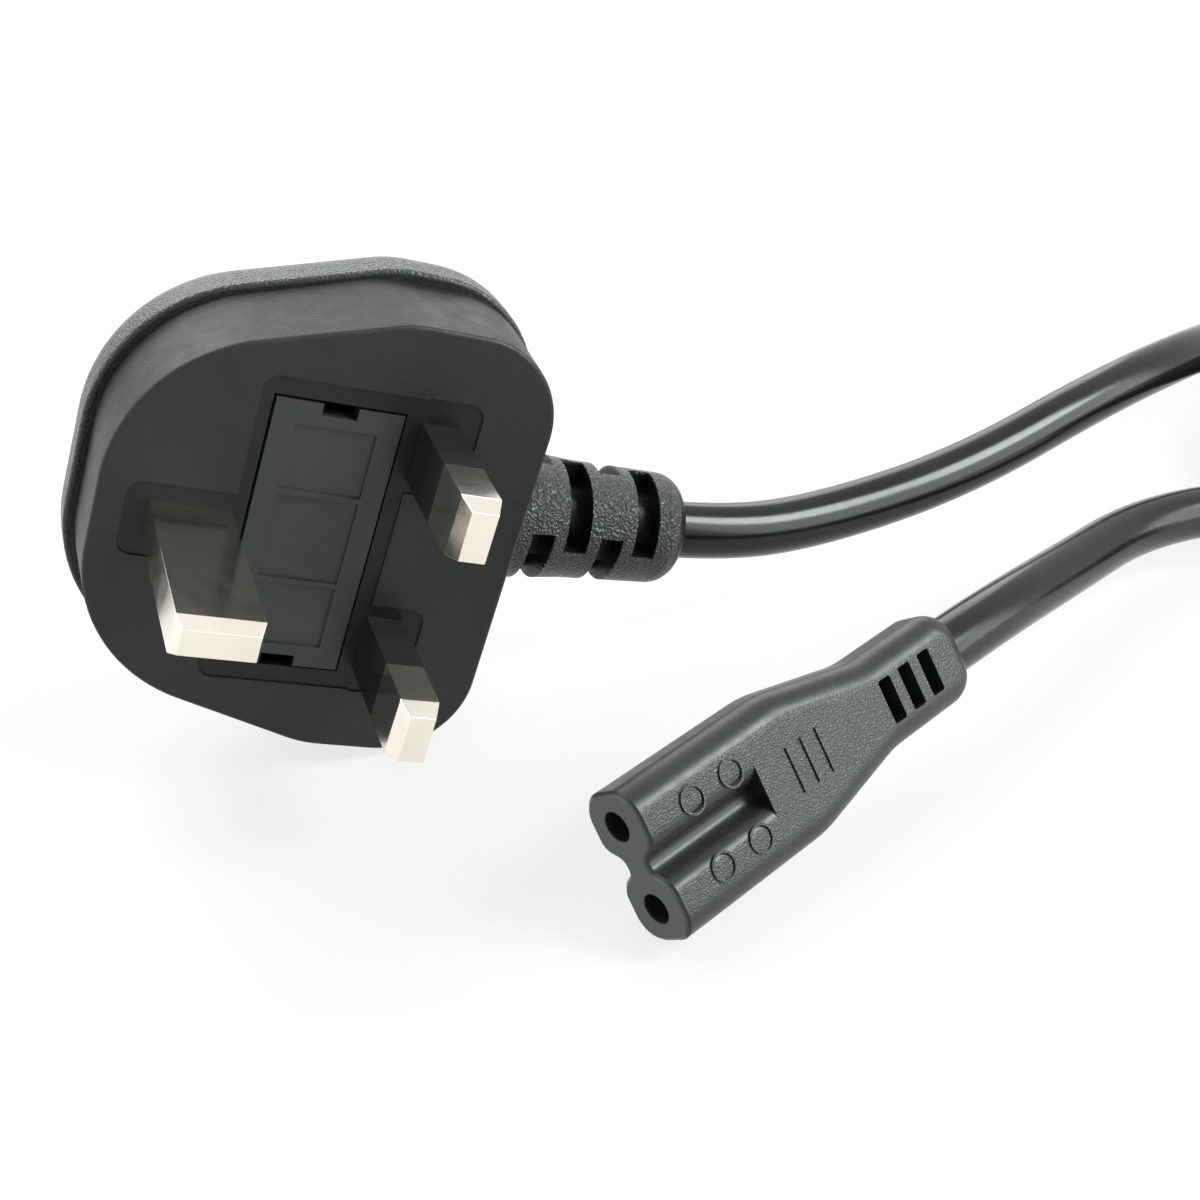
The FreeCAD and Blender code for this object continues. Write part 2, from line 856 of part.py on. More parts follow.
def rim_edge(step):
    """Edges round the outside of the step, which are longer than those at its inner corner."""
    flat = on_level("Z", -step)
    half, nose = SIZES["step_half"], SIZES["step_nose"]
    tail = SIZES["step_tail"]

    def wanted(box):
        outside = box.YMax > half + NEAR or box.YMin < -half - NEAR
        return flat(box) and (outside or box.XMin < nose - NEAR or box.XMax > tail + NEAR)

    return wanted


def relief(body):
    """The tapered round tail with its slots, about an axis tilted a little sideways."""
    tilt = Rotation(Vector(0, 0, 1), SIZES["relief_tilt"])
    start, deep = size("relief_start"), size("relief_deep")
    long = size("relief_long")
    inside = -size("relief_inside")
    base = (start, as_size(0), -deep)
    sketch = new_sketch(body, "ReliefProfile", "XY_Plane", turn=tilt, base=base)
    corners = [
        (inside, 0, None),
        (long, 0, None),
        (long, size("relief_tip"), size("relief_round")),
        (size("relief_mid_at"), size("relief_mid"), None),
        (size("relief_near_at"), size("relief_near"), None),
        (0, size("relief_root"), None),
        (inside, size("relief_root"), None),
    ]
    draw(sketch, corners)
    spin(body, sketch, 360, "H_Axis")
    slots(body, base)
    lean = math.radians(SIZES["relief_tilt"])
    x, y = start + long * math.cos(lean), long * math.sin(lean)
    turn = Rotation(Vector(0, 1, 0), SIZES["relief_tilt"])
    jacket_hole(body, "ReliefMouth", x, y, -deep, True, turn)


def slots(body, base):
    """Slots part of the way round the relief, in pairs, each pair a quarter turn on."""
    floor, wide = size("slot_floor"), size("slot_wide")
    first, pitch = size("slot_first"), size("slot_pitch")
    tilt = Rotation(Vector(0, 0, 1), SIZES["relief_tilt"])
    for side, angle in enumerate(SLOT_ANGLES):
        turn = tilt.multiply(Rotation(Vector(1, 0, 0), angle - SIZES["slot_span"] / 2))
        sketch = new_sketch(body, f"Slots{angle}", "XY_Plane", turn=turn, base=base)
        shift = 1 if side % 2 == 0 else 0
        for step in (shift, shift + 2):
            x = first + pitch * step
            rectangle(sketch, x, x + wide, floor, size("relief_root") * 2)
        spin(body, sketch, size("slot_span"), "H_Axis", "Groove")


# Connector


def make_connector_blank():
    body = new_body("connector_blank", SOCKET)
    half, thick = size("mouth_half"), size("mouth_thick")
    neck_half, end = size("neck_half"), -size("body_long")
    bend, corner = size("shoulder_radius"), size("end_radius")
    sketch = new_sketch(body, "Side", "XY_Plane", -thick / 2)
    corners = [
        (0, half, None),
        (-size("shoulder"), half, bend),
        (-size("neck"), neck_half, bend),
        (end, neck_half, corner),
        (end, -neck_half, corner),
        (-size("neck"), -neck_half, bend),
        (-size("shoulder"), -half, bend),
        (0, -half, None),
    ]
    draw(sketch, corners)
    solid = pad(body, sketch, thick)
    side = thick.value / 2

    def long_edge(box):
        flat = level(box.ZMin, box.ZMax, side) or level(box.ZMin, box.ZMax, -side)
        return flat and not level(box.XMin, box.XMax, 0)

    dress(body, "Fillet", "LongEdges", solid, long_edge, size("body_radius"))
    last = grooves(body)
    dress(body, "Chamfer", "MouthEdge", last, on_level("X", 0), size("mouth_bevel"))
    holes = new_sketch(body, "Holes", "YZ_Plane", -size("carrier_set"))
    for y in (size("hole_spread"), -size("hole_spread")):
        disc(holes, y, 0, size("hole_radius"))
    pocket(body, holes, size("carrier_set"))
    windows(body)
    raised_marks(body)
    jacket_hole(body, "NeckMouth", end, as_size(0), as_size(0), False)
    return body


def grooves(body):
    """The waist of the figure eight, cut into both wide sides from the mouth."""
    side = size("mouth_thick") / 2
    floor, low, lip = size("groove_floor"), size("groove_floor_half"), size("groove_lip_half")
    lip_radius, floor_radius = size("groove_lip_radius"), size("groove_floor_radius")
    reach, out = lip + size("groove_reach"), side + size("groove_over")
    for label, sign in (("Near", -1), ("Far", 1)):
        sketch = new_sketch(body, f"Groove{label}", "YZ_Plane", -size("groove_long"))
        corners = [
            (-low, floor * sign, floor_radius),
            (low, floor * sign, floor_radius),
            (lip, side * sign, lip_radius),
            (reach, side * sign, None),
            (reach, out * sign, None),
            (-reach, out * sign, None),
            (-reach, side * sign, None),
            (-lip, side * sign, lip_radius),
        ]
        draw(sketch, corners)
        last = pocket(body, sketch, size("groove_long"))
    return last


def windows(body):
    """Three slots across each wide side of the neck, which let it bend."""
    side, floor = size("mouth_thick") / 2, size("window_floor")
    half = size("window_half")
    for label, start in (("Near", -side), ("Far", floor)):
        sketch = new_sketch(body, f"Windows{label}", "XY_Plane", start)
        for i in range(WINDOWS):
            x = -(size("window_first") + size("window_pitch") * i)
            rectangle(sketch, x - size("window_long"), x, -half, half, size("window_radius"))
        pocket(body, sketch, side - floor)


def raised_marks(body):
    """Blank raised ribs and rings on both wide sides."""
    side, high = size("mouth_thick") / 2, size("rib_high")
    half, wide = size("window_half"), size("rib_wide")
    ring = size("ring_radius")
    for label, start in (("Near", -side - high), ("Far", side)):
        sketch = new_sketch(body, f"Marks{label}", "XY_Plane", start)
        for i in range(RIBS):
            x = -(size("rib_first") + size("rib_pitch") * i)
            rectangle(sketch, x - wide, x, -half, half)
        for x in (-size("ring_first"), -size("ring_second")):
            for y in (size("ring_spread"), -size("ring_spread")):
                disc(sketch, x, y, ring)
                disc(sketch, x, y, ring - size("ring_wide"))
        pad(body, sketch, high)


def make_contact(name, y):
    """A split tube for one pin of the inlet, with a barrel for the core behind it."""
    body = new_body(name, SOCKET)
    outer = size("hole_radius") - size("contact_gap")
    inner = outer - size("contact_wall")
    front, long, tail = -size("contact_set"), size("contact_long"), size("contact_tail")
    sketch = new_sketch(body, f"{name}Tube", "YZ_Plane", front - long - tail)
    disc(sketch, y, 0, outer)
    pad(body, sketch, long + tail)
    bore = new_sketch(body, f"{name}Bore", "YZ_Plane", front - long)
    disc(bore, y, 0, inner)
    pocket(body, bore, long)
    slit = new_sketch(body, f"{name}Slit", "YZ_Plane", front - size("slit_long"))
    half = size("contact_slit") / 2
    rectangle(slit, y - half, y + half, 0, outer * 2)
    pocket(body, slit, size("slit_long"))
    barrel = new_sketch(body, f"{name}Barrel", "YZ_Plane", front - long - tail)
    disc(barrel, y, 0, size("core_radius"))
    pocket(body, barrel, tail - size("contact_floor"))
    return body


def carrier_shape(name):
    """Two round cups and the web between them, still solid."""
    body = new_body(name, SOCKET)
    long = size("carrier_long")
    offset = -(size("carrier_set") + long)
    spread, web = size("hole_spread"), size("web_half")
    sketch = new_sketch(body, f"{name}Web", "YZ_Plane", offset)
    rectangle(sketch, -spread, spread, -web, web)
    pad(body, sketch, long)
    for label, y in (("Left", spread), ("Right", -spread)):
        cup = new_sketch(body, f"{name}{label}", "YZ_Plane", offset)
        disc(cup, y, 0, size("carrier_radius"))
        pad(body, cup, long)
    return body


def make_carrier(tools):
    """The stiff inner block that holds both contacts."""
    blank = carrier_shape("CarrierBlank")
    deep = size("contact_set") + size("contact_long")
    cavity = new_sketch(blank, "Cavities", "YZ_Plane", -deep)
    for y in (size("hole_spread"), -size("hole_spread")):
        disc(cavity, y, 0, size("hole_radius"))
    pocket(blank, cavity, deep - size("carrier_set"))
    return carved("contact_carrier", blank, merged("CarrierRoom", tools))


def make_connector_cores():
    back = -(size("contact_set") + size("contact_long") + size("contact_floor"))
    end = size("jacket_in") - size("body_long")
    bend = size("end_bend")
    cores = []
    for name, sign in (("brown_core_end", 1), ("blue_core_end", -1)):
        y = size("hole_spread") * sign
        near = size("core_spread") * sign
        route = [
            (back, y, None),
            (back - size("contact_tail") - size("end_lead"), y, bend),
            (back - size("contact_tail") - size("end_gather"), near, bend),
            (end, near, None),
        ]
        cores.append(strand(name, SOCKET, "YZ_Plane", (y, 0, back), route, as_size(0)))
    return cores


# Cord, coil and tie


def leave(placement, end, along):
    """The first two points of a route, inside and straight out of a moulding's end."""
    away = placement.Rotation.multVec(along)
    inside = placement.multVec(end) - away * SIZES["jacket_in"]
    return [inside, inside + away * SIZES["first_run"]]


def plug_exit():
    lean = math.radians(SIZES["relief_tilt"])
    along = Vector(math.cos(lean), math.sin(lean), 0)
    root = Vector(SIZES["relief_start"], 0, -SIZES["relief_deep"])
    return leave(PLUG, root + along * SIZES["relief_long"], along)


def socket_exit():
    return leave(SOCKET, Vector(-SIZES["body_long"], 0, 0), Vector(-1, 0, 0))


def bend_at(before, corner, after):
    """The arc at one point of a route, as large as its two runs allow."""
    into, out = corner - before, after - corner
    reach = BEND_SHARE * min(into.Length, out.Length)
    turn = into.getAngle(out)
    into.normalize()
    out.normalize()
    radius = reach / math.tan(turn / 2)
    inward = (out - into).normalize()
    middle = corner + inward * radius * (1 / math.cos(turn / 2) - 1)
    return corner - into * reach, middle, corner + out * reach, radius


def cord_tube(name, points):
    """Straight runs joined by tangent arcs, with the cord's round section."""
    edges, radii, at = [], [], points[0]
    for before, corner, after in zip(points, points[1:], points[2:]):
        start, middle, end, radius = bend_at(before, corner, after)
        edges.append(Part.LineSegment(at, start).toShape())
        edges.append(Part.Arc(start, middle, end).toShape())
        radii.append(round(radius, 1))
        at = end
    edges.append(Part.LineSegment(at, points[-1]).toShape())
    path = Part.Wire(edges)
    thick = float(sheet.get("cord_radius"))
    section = Part.Wire(Part.makeCircle(thick, points[0], points[1] - points[0]))
    tube = doc.addObject("Part::Feature", name)
    tube.Label = name
    tube.Shape = path.makePipeShell([section], True, False)
    tube.Placement = Placement()
    share = tube.Shape.Volume / (math.pi * thick**2 * path.Length)
    print(name, "long", round(path.Length, 1), "radii", radii, "volume share", round(share, 4))
    return tube


def coil_section(sketch, grow):
    """The rounded outer section of the stacked turns, or of the tie round them."""
    radius, mean = size("cord_radius"), size("coil_radius")
    half, high = radius * size("coil_columns") + grow, radius * size("coil_layers") * 2
    foot = size("tie_thick")
    rectangle(sketch, mean - half, mean + half, foot - grow, foot + high + grow, radius + grow)


def make_coil():
    place = Placement(Vector(SIZES["coil_x"], SIZES["coil_y"], 0), Rotation())
    coil = new_body("cord_coil", place)
    turns = new_sketch(coil, "Turns", "XZ_Plane")
    coil_section(turns, as_size(0))
    spin(coil, turns, 360)
    tie = new_body("cord_tie", place)
    band = new_sketch(tie, "Band", "XZ_Plane")
    coil_section(band, size("tie_thick"))
    coil_section(band, as_size(0))
    spin(tie, band, size("tie_angle"))
    return [coil, tie]


def build_cord():
    plug_side = plug_exit() + [Vector(*point) for point in PLUG_ROUTE]
    socket_side = socket_exit() + [Vector(*point) for point in SOCKET_ROUTE]
    tubes = [cord_tube("cord_from_plug", plug_side), cord_tube("cord_from_connector", socket_side)]
    return tubes + make_coil()


# Build


def build_plug():
    spread = size("pin_spread")
    line = live_pin("line_pin", -spread, -(size("chamber_deep") - size("clip_thick")))
    neutral = live_pin("neutral_pin", spread, -size("bridge_deep"))
    sleeves = [pin_sleeve("line_pin_sleeve", -spread), pin_sleeve("neutral_pin_sleeve", spread)]
    earth = make_earth_pin()
    clips = [make_line_clip(), make_supply_clip()]
    bridge = make_bridge([line, neutral, earth] + sleeves + clips)
    half, cap = size("fuse_half"), size("cap_long")
    fuse = [
        make_drawer(),
        fuse_cap("fuse_cap_supply", half, half - cap, True),
        fuse_cap("fuse_cap_line", -half, cap - half, False),
        fuse_rod(
            "fuse_barrel",
            size("cap_radius") - size("cap_wall"),
            size("barrel_bore"),
            half - size("clip_thick"),
        ),
        fuse_rod("fuse_wire", size("wire_radius"), None, half - size("clip_thick")),
    ]
    supply_end = -(size("clip_spread") + size("tail_long") / 2)
    crimps = [
        crimp("neutral_crimp", "YZ_Plane", spread, -size("pin_thick") / 2),
        crimp("supply_crimp", "XZ_Plane", size("drawer_centre"), supply_end),
    ]
    cores = list(make_plug_cores())
    blank = make_plug_blank()
    plug = carved("plug_body", blank, merged("PlugRoom", crimps + cores))
    return [plug, bridge, line, neutral, earth] + sleeves + clips + fuse + crimps + cores


def build_connector():
    spread = size("hole_spread")
    contacts = [make_contact("contact_upper", spread), make_contact("contact_lower", -spread)]
    cores = make_connector_cores()
    carrier = make_carrier(contacts + cores)
    blank = make_connector_blank()
    room = merged("ConnectorRoom", [carrier_shape("CarrierShape")] + contacts + cores)
    body = carved("connector_body", blank, room)
    return [body, carrier] + contacts + cores


def check(pieces):
    for thing in doc.Objects:
        if "Invalid" in thing.State or "Error" in thing.State:
            raise RuntimeError(f"{thing.Label}: {thing.State}")
    for piece in pieces:
        if piece.Shape.isNull() or not piece.Shape.isValid():
            raise RuntimeError(f"{piece.Label} has no valid shape")
        if len(piece.Shape.Solids) != 1:
            raise RuntimeError(f"{piece.Label} has {len(piece.Shape.Solids)} solids")


pieces = build_plug() + build_connector() + build_cord()
doc.recompute()
check(pieces)
os.makedirs("parts", exist_ok=True)
for piece in pieces:
    piece.Shape.exportStep(f"parts/{piece.Label}.step")
print("pieces", len(pieces))
for label, points in (("plug exit", plug_exit()), ("socket exit", socket_exit())):
    print(label, [[round(value, 2) for value in point] for point in points])
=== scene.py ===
import math
import bpy
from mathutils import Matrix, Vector


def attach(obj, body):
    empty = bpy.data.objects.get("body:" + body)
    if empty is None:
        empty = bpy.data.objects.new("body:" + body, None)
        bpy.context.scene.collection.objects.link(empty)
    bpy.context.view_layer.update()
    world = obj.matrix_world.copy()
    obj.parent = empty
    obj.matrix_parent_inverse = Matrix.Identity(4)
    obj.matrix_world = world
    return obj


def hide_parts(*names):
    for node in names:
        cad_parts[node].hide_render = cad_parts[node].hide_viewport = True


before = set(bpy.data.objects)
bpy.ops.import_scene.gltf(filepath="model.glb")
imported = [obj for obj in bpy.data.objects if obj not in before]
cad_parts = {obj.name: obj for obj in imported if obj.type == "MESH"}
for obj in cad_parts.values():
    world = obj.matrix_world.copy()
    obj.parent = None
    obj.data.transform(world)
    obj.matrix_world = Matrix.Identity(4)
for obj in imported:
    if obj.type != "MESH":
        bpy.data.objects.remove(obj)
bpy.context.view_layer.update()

MM = 0.001

# Where the plug and the connector lie: place in mm, then turns about X, Y and Z

PLUG = ((-11.64, 2.17, 24.99), (91.91, 17.64, 18.87))
SOCKET = ((11.64, -26.99, 7.51), (122.93, 3.74, -134.84))

# Camera

CAMERA_PLACE = (8.24, -156.26, 109.8)
CAMERA_DOWN = 29.7
CAMERA_LENS = 52.9
SENSOR = 36
CLIP_START = 0.005


def mm(*values):
    return Vector(values) * MM


def make_camera():
    data = bpy.data.cameras.new("camera")
    data.lens = CAMERA_LENS
    data.sensor_width = SENSOR
    data.clip_start = CLIP_START
    camera = bpy.data.objects.new("camera", data)
    camera.location = mm(*CAMERA_PLACE)
    camera.rotation_euler = (math.radians(90 - CAMERA_DOWN), 0, 0)
    bpy.context.collection.objects.link(camera)
    bpy.context.scene.camera = camera


# The plug's tail in the plug's frame: its start, depth and radius in mm, its taper and tilt

RELIEF_START = 12.0
RELIEF_DEEP = 13.0
RELIEF_RADIUS = 7.2
RELIEF_TAPER = 0.0405
RELIEF_TILT = 0.0402

# How far below the tail's surface the painted shade in its slots starts, and where it is fully
# dark, in mm

SLOT_SHADE_DEPTHS = (0.2, 0.45)

# Where the looks of a moulding change: from and to, in mm along one axis of its own frame

TAIL_FROM = (12.9, 13.6)
RIM_BEHIND = (10.4, 10.7)
FACE_FROM = (-0.4, -0.1)
WIDE_FACE_FROM = (3.8, 3.88)
GRAIN_BEHIND = (0.5, 0.7)
# where the painted light on the connector's front face begins
LIT_MOUTH_FROM = (-0.25, -0.05)

# What every plastic has: the scales of its mottled colour, uneven gloss and slight swell, the
# swell's height in mm and strength, and the roundness of its grains

MOTTLE = 180
GLOSS = 600
SWELL = 90
SWELL_HIGH = 0.05
SWELL_SHARE = 0.3
GRAIN_SMOOTHNESS = 0.5

# The plug's moulding: shine of its parts and the share of it kept in the slots' painted shade,
# what the coarse ones add to the roughness, sizes and depths of the two grains in mm, and the
# share of the coarse one on the rim

WALL_SHINE = 0.34
COARSE_SHINE = 0.45
SLOT_SHADE_SHINE = 0.3
COARSE_GLOSS = -0.14
FINE_GRAIN = 0.24
FINE_DEEP = 0.04
COARSE_GRAIN = 0.33
COARSE_DEEP = 0.25
RIM_SHARE = 0.55

# The connector's moulding: scale of its sides' unevenness, size of the wide faces' grain in mm,
# the depth of each in mm, and shine

SIDE_SCALE = 2600
SIDE_DEEP = 0.006
SPARK_GRAIN = 0.2
SPARK_DEEP = 0.065
CONNECTOR_SHINE = 0.42

# Metal: scales of its colour, gloss, swell and scratches, and the heights of the last two in mm

METAL_MOTTLE = 160
METAL_GLOSS = 500
METAL_SWELL = 220
METAL_SWELL_HIGH = 0.02
SCRATCH = 3000
SCRATCH_DEEP = 0.0015

# The strap's weave: scale, distortion and height in mm

WEAVE = 900
WEAVE_DISTORTION = 1.5
WEAVE_HIGH = 0.1

# Node helpers


class Nodes:
    """Adds nodes to one material and joins them."""

    def __init__(self, name):
        self.material = bpy.data.materials.new(name)
        self.material.use_nodes = True
        self.tree = self.material.node_tree
        self.shader = self.tree.nodes["Principled BSDF"]
        self.place = self.add("ShaderNodeTexCoord").outputs["Object"]

    def add(self, kind, **values):
        node = self.tree.nodes.new(kind)
        for key, value in values.items():
            setattr(node, key, value)
        return node

    def join(self, source, target):
        self.tree.links.new(source, target)

    def feed(self, socket, value):
        """Links a node's output to a socket, or sets it to a plain value."""
        if isinstance(value, bpy.types.NodeSocket):
            self.join(value, socket)
        else:
            socket.default_value = value

    def axes(self, end):
        """X, Y and Z in the frame of the plug or of the connector, in metres."""
        place, turns = end
        node = self.add("ShaderNodeMapping", vector_type="TEXTURE")
        node.inputs["Location"].default_value = mm(*place)
        node.inputs["Rotation"].default_value = [math.radians(angle) for angle in turns]
        self.join(self.place, node.inputs["Vector"])
        split = self.add("ShaderNodeSeparateXYZ")
        self.join(node.outputs["Vector"], split.inputs["Vector"])
        return split.outputs

    def maths(self, operation, *values):
        node = self.add("ShaderNodeMath", operation=operation)
        for socket, value in zip(node.inputs, values):
            self.feed(socket, value)
        return node.outputs["Value"]

    def noise(self, scale, detail=3, roughness=0.5):
        node = self.add("ShaderNodeTexNoise")
        node.inputs["Scale"].default_value = scale
        node.inputs["Detail"].default_value = detail
        node.inputs["Roughness"].default_value = roughness
        self.join(self.place, node.inputs["Vector"])
        return node.outputs["Fac"]

    def pits(self, size):
        """Rounded grains, this many millimetres across."""
        node = self.add("ShaderNodeTexVoronoi", feature="SMOOTH_F1")
        node.inputs["Scale"].default_value = 1 / (size * MM)
        node.inputs["Smoothness"].default_value = GRAIN_SMOOTHNESS
        self.join(self.place, node.inputs["Vector"])
        return node.outputs["Distance"]

    def ramp(self, source, low, high, start=0.35, end=0.65):
        node = self.add("ShaderNodeValToRGB")
        first, last = node.color_ramp.elements
        first.position, last.position = start, end
        first.color, last.color = (*low, 1), (*high, 1)
        self.join(source, node.inputs["Fac"])
        return node.outputs["Color"]

    def spread(self, source, low, high, start=0.3, end=0.7):
        node = self.add("ShaderNodeMapRange")
        values = {"From Min": start, "From Max": end, "To Min": low, "To Max": high}
        for key, value in values.items():
            node.inputs[key].default_value = value
        self.join(source, node.inputs["Value"])
        return node.outputs["Result"]

    def step(self, source, start, end):
        """0 below the start and 1 above the end, in millimetres."""
        return self.spread(source, 0, 1, start * MM, end * MM)

    def slot_shade_mask(self, x, y, z):
        """Mask of the painted shade in the tail's slots: 1 below its tapered surface, in the
        plug's frame.
        """
        along = self.maths("SUBTRACT", x, RELIEF_START * MM)
        beside = self.maths("MULTIPLY_ADD", along, -RELIEF_TILT, y)
        across = self.maths("ADD", z, RELIEF_DEEP * MM)
        squares = [self.maths("MULTIPLY", side, side) for side in (beside, across)]
        radius = self.maths("SQRT", self.maths("ADD", *squares))
        surface = self.maths("MULTIPLY_ADD", along, -RELIEF_TAPER, RELIEF_RADIUS * MM)
        return self.step(self.maths("SUBTRACT", surface, radius), *SLOT_SHADE_DEPTHS)

    def mix(self, share, low, high):
        node = self.add("ShaderNodeMix", data_type="RGBA")
        self.feed(node.inputs[0], share)
        self.feed(node.inputs[6], low)
        self.feed(node.inputs[7], high)
        return node.outputs[2]

    def bump(self, source, height, strength=1.0, under=None):
        node = self.add("ShaderNodeBump")
        self.feed(node.inputs["Strength"], strength)
        node.inputs["Distance"].default_value = height * MM
        self.join(source, node.inputs["Height"])
        if under is not None:
            self.join(under, node.inputs["Normal"])
        return node.outputs["Normal"]

    def swell(self):
        """The slight unevenness of a moulded surface."""
        return self.bump(self.noise(SWELL, 2), SWELL_HIGH, SWELL_SHARE)

    def finish(self, colour, roughness, normal=None, **values):
        self.feed(self.shader.inputs["Base Color"], colour)
        self.feed(self.shader.inputs["Roughness"], roughness)
        if normal is not None:
            self.join(normal, self.shader.inputs["Normal"])
        for key, value in values.items():
            self.feed(self.shader.inputs[key.replace("_", " ")], value)
        return self.material


# Materials


def grey(value):
    """The black plastics' slightly green grey."""
    return (value * 0.93, value * 1.05, value * 1.02)


TINT = (0.9, 1.0, 0.97, 1)


def plastic(name, low, high, rough, grain, depth, shine=0.5):
    """Moulded plastic: mottled colour, a fine grain and slightly uneven gloss."""
    nodes = Nodes(name)
    colour = nodes.ramp(nodes.noise(MOTTLE, 4), low, high)
    gloss = nodes.spread(nodes.noise(GLOSS, 5), *rough)
    normal = nodes.bump(nodes.noise(1 / (grain * MM), 2, 0.6), depth, 1.0, nodes.swell())
    return nodes.finish(colour, gloss, normal, Specular_Tint=TINT, Specular_IOR_Level=shine)


def plug_plastic():
    """The plug's moulding: fine grain, coarse and sparkling behind the step and on the tail, with
    painted shade darkening the tail's slots.
    """
    nodes = Nodes("plug_moulding")
    x, y, z = nodes.axes(PLUG)[:3]
    tail = nodes.step(x, *TAIL_FROM)
    rim = nodes.step(nodes.maths("MULTIPLY", z, -1.0), *RIM_BEHIND)
    coarse = nodes.maths("MAXIMUM", tail, rim)
    face = nodes.step(z, *FACE_FROM)
    # slots: where painted shade darkens the insides of the tail's slots
    slots = nodes.maths("MULTIPLY", tail, nodes.slot_shade_mask(x, y, z))

    colour = nodes.ramp(nodes.noise(MOTTLE, 4), grey(0.0085), grey(0.0115))
    colour = nodes.mix(coarse, colour, (*grey(0.034), 1))
    # painted shade: the slots' insides are painted near black
    colour = nodes.mix(slots, colour, (*grey(0.004), 1))

    shine = nodes.spread(nodes.maths("MAXIMUM", coarse, face), WALL_SHINE, COARSE_SHINE, 0, 1)
    # painted shade: the slots' insides also lose most of their shine
    shine = nodes.maths("MULTIPLY", shine, nodes.spread(slots, 1, SLOT_SHADE_SHINE, 0, 1))
    gloss = nodes.spread(nodes.noise(GLOSS, 5), 0.42, 0.52)
    gloss = nodes.maths("MULTIPLY_ADD", coarse, COARSE_GLOSS, gloss)

    fine = nodes.bump(nodes.pits(FINE_GRAIN), FINE_DEEP, 0.6, nodes.swell())
    strong = nodes.maths("MAXIMUM", tail, nodes.maths("MULTIPLY", rim, RIM_SHARE))
    strong = nodes.maths("MULTIPLY", strong, nodes.spread(slots, 1, 0, 0, 1))
    normal = nodes.bump(nodes.pits(COARSE_GRAIN), COARSE_DEEP, strong, fine)
    return nodes.finish(colour, gloss, normal, Specular_Tint=TINT, Specular_IOR_Level=shine)


def connector_plastic():
    """The connector's moulding: smooth sides and front face, spark-eroded grain on its wide faces,
    and painted light making the front face lighter.
    """
    nodes = Nodes("connector_moulding")
    x, _, z = nodes.axes(SOCKET)[:3]
    wide = nodes.step(nodes.maths("ABSOLUTE", z), *WIDE_FACE_FROM)
    behind = nodes.step(nodes.maths("MULTIPLY", x, -1.0), *GRAIN_BEHIND)
    grained = nodes.maths("MULTIPLY", wide, behind)
    lit_mouth = nodes.step(x, *LIT_MOUTH_FROM)

    colour = nodes.ramp(nodes.noise(MOTTLE, 4), grey(0.016), grey(0.021))
    colour = nodes.mix(grained, colour, (*grey(0.024), 1))
    # painted light: the front face, lit from the front left, is painted a much lighter grey
    colour = nodes.mix(lit_mouth, colour, (*grey(0.11), 1))
    gloss = nodes.spread(nodes.noise(GLOSS, 5), 0.32, 0.4)
    fine = nodes.bump(nodes.noise(SIDE_SCALE, 2), SIDE_DEEP, 0.5, nodes.swell())
    normal = nodes.bump(nodes.pits(SPARK_GRAIN), SPARK_DEEP, grained, fine)
    values = {"Specular_Tint": TINT, "Specular_IOR_Level": CONNECTOR_SHINE}
    return nodes.finish(colour, gloss, normal, **values)


def metal(name, low, high, rough):
    """Plated or bare metal with fine scratches."""
    nodes = Nodes(name)
    colour = nodes.ramp(nodes.noise(METAL_MOTTLE, 3), low, high)
    gloss = nodes.spread(nodes.noise(METAL_GLOSS, 4), *rough)
    swell = nodes.bump(nodes.noise(METAL_SWELL, 1), METAL_SWELL_HIGH, 0.25)
    normal = nodes.bump(nodes.noise(SCRATCH, 2), SCRATCH_DEEP, 0.4, swell)
    return nodes.finish(colour, gloss, normal, Metallic=1.0)


def woven(name, low, high):
    """A woven strap."""
    nodes = Nodes(name)
    wave = nodes.add("ShaderNodeTexWave", wave_type="BANDS", bands_direction="DIAGONAL")
    wave.inputs["Scale"].default_value = WEAVE
    wave.inputs["Distortion"].default_value = WEAVE_DISTORTION
    nodes.join(nodes.place, wave.inputs["Vector"])
    colour = nodes.ramp(wave.outputs["Fac"], low, high)
    gloss = nodes.spread(nodes.noise(500, 3), 0.75, 0.95)
    return nodes.finish(colour, gloss, nodes.bump(wave.outputs["Fac"], WEAVE_HIGH))


# Darkest and lightest colour, least and most roughness, grain and its depth in mm, and shine

PLASTICS = {
    "bridge": (grey(0.007), grey(0.01), (0.36, 0.44), 0.35, 0.006, 0.32),
    "carrier": (grey(0.006), grey(0.009), (0.5, 0.6), 0.35, 0.006),
    "drawer": (grey(0.028), grey(0.033), (0.3, 0.38), 0.4, 0.003),
    "sleeve": (grey(0.016), grey(0.019), (0.18, 0.26), 0.8, 0.001),
    "jacket": (grey(0.006), grey(0.008), (0.17, 0.22), 0.8, 0.001, 0.32),
    "ceramic": ((0.78, 0.75, 0.68), (0.86, 0.84, 0.78), (0.2, 0.3), 0.5, 0.003),
    "brown": ((0.14, 0.05, 0.02), (0.18, 0.07, 0.03), (0.3, 0.4), 0.6, 0.004),
    "blue": ((0.02, 0.09, 0.38), (0.03, 0.12, 0.46), (0.3, 0.4), 0.6, 0.004),
}

# Darkest and lightest colour, least and most roughness

METALS = {
    "nickel": ((0.84, 0.79, 0.69), (0.9, 0.85, 0.76), (0.14, 0.2)),
    "brass": ((0.66, 0.5, 0.24), (0.78, 0.62, 0.33), (0.25, 0.4)),
}


def make_materials():
    materials = {"plug": plug_plastic(), "connector": connector_plastic()}
    for name, values in PLASTICS.items():
        materials[name] = plastic(name, *values)
    for name, values in METALS.items():
        materials[name] = metal(name, *values)
    materials["strap"] = woven("strap", grey(0.012), grey(0.035))
    return materials


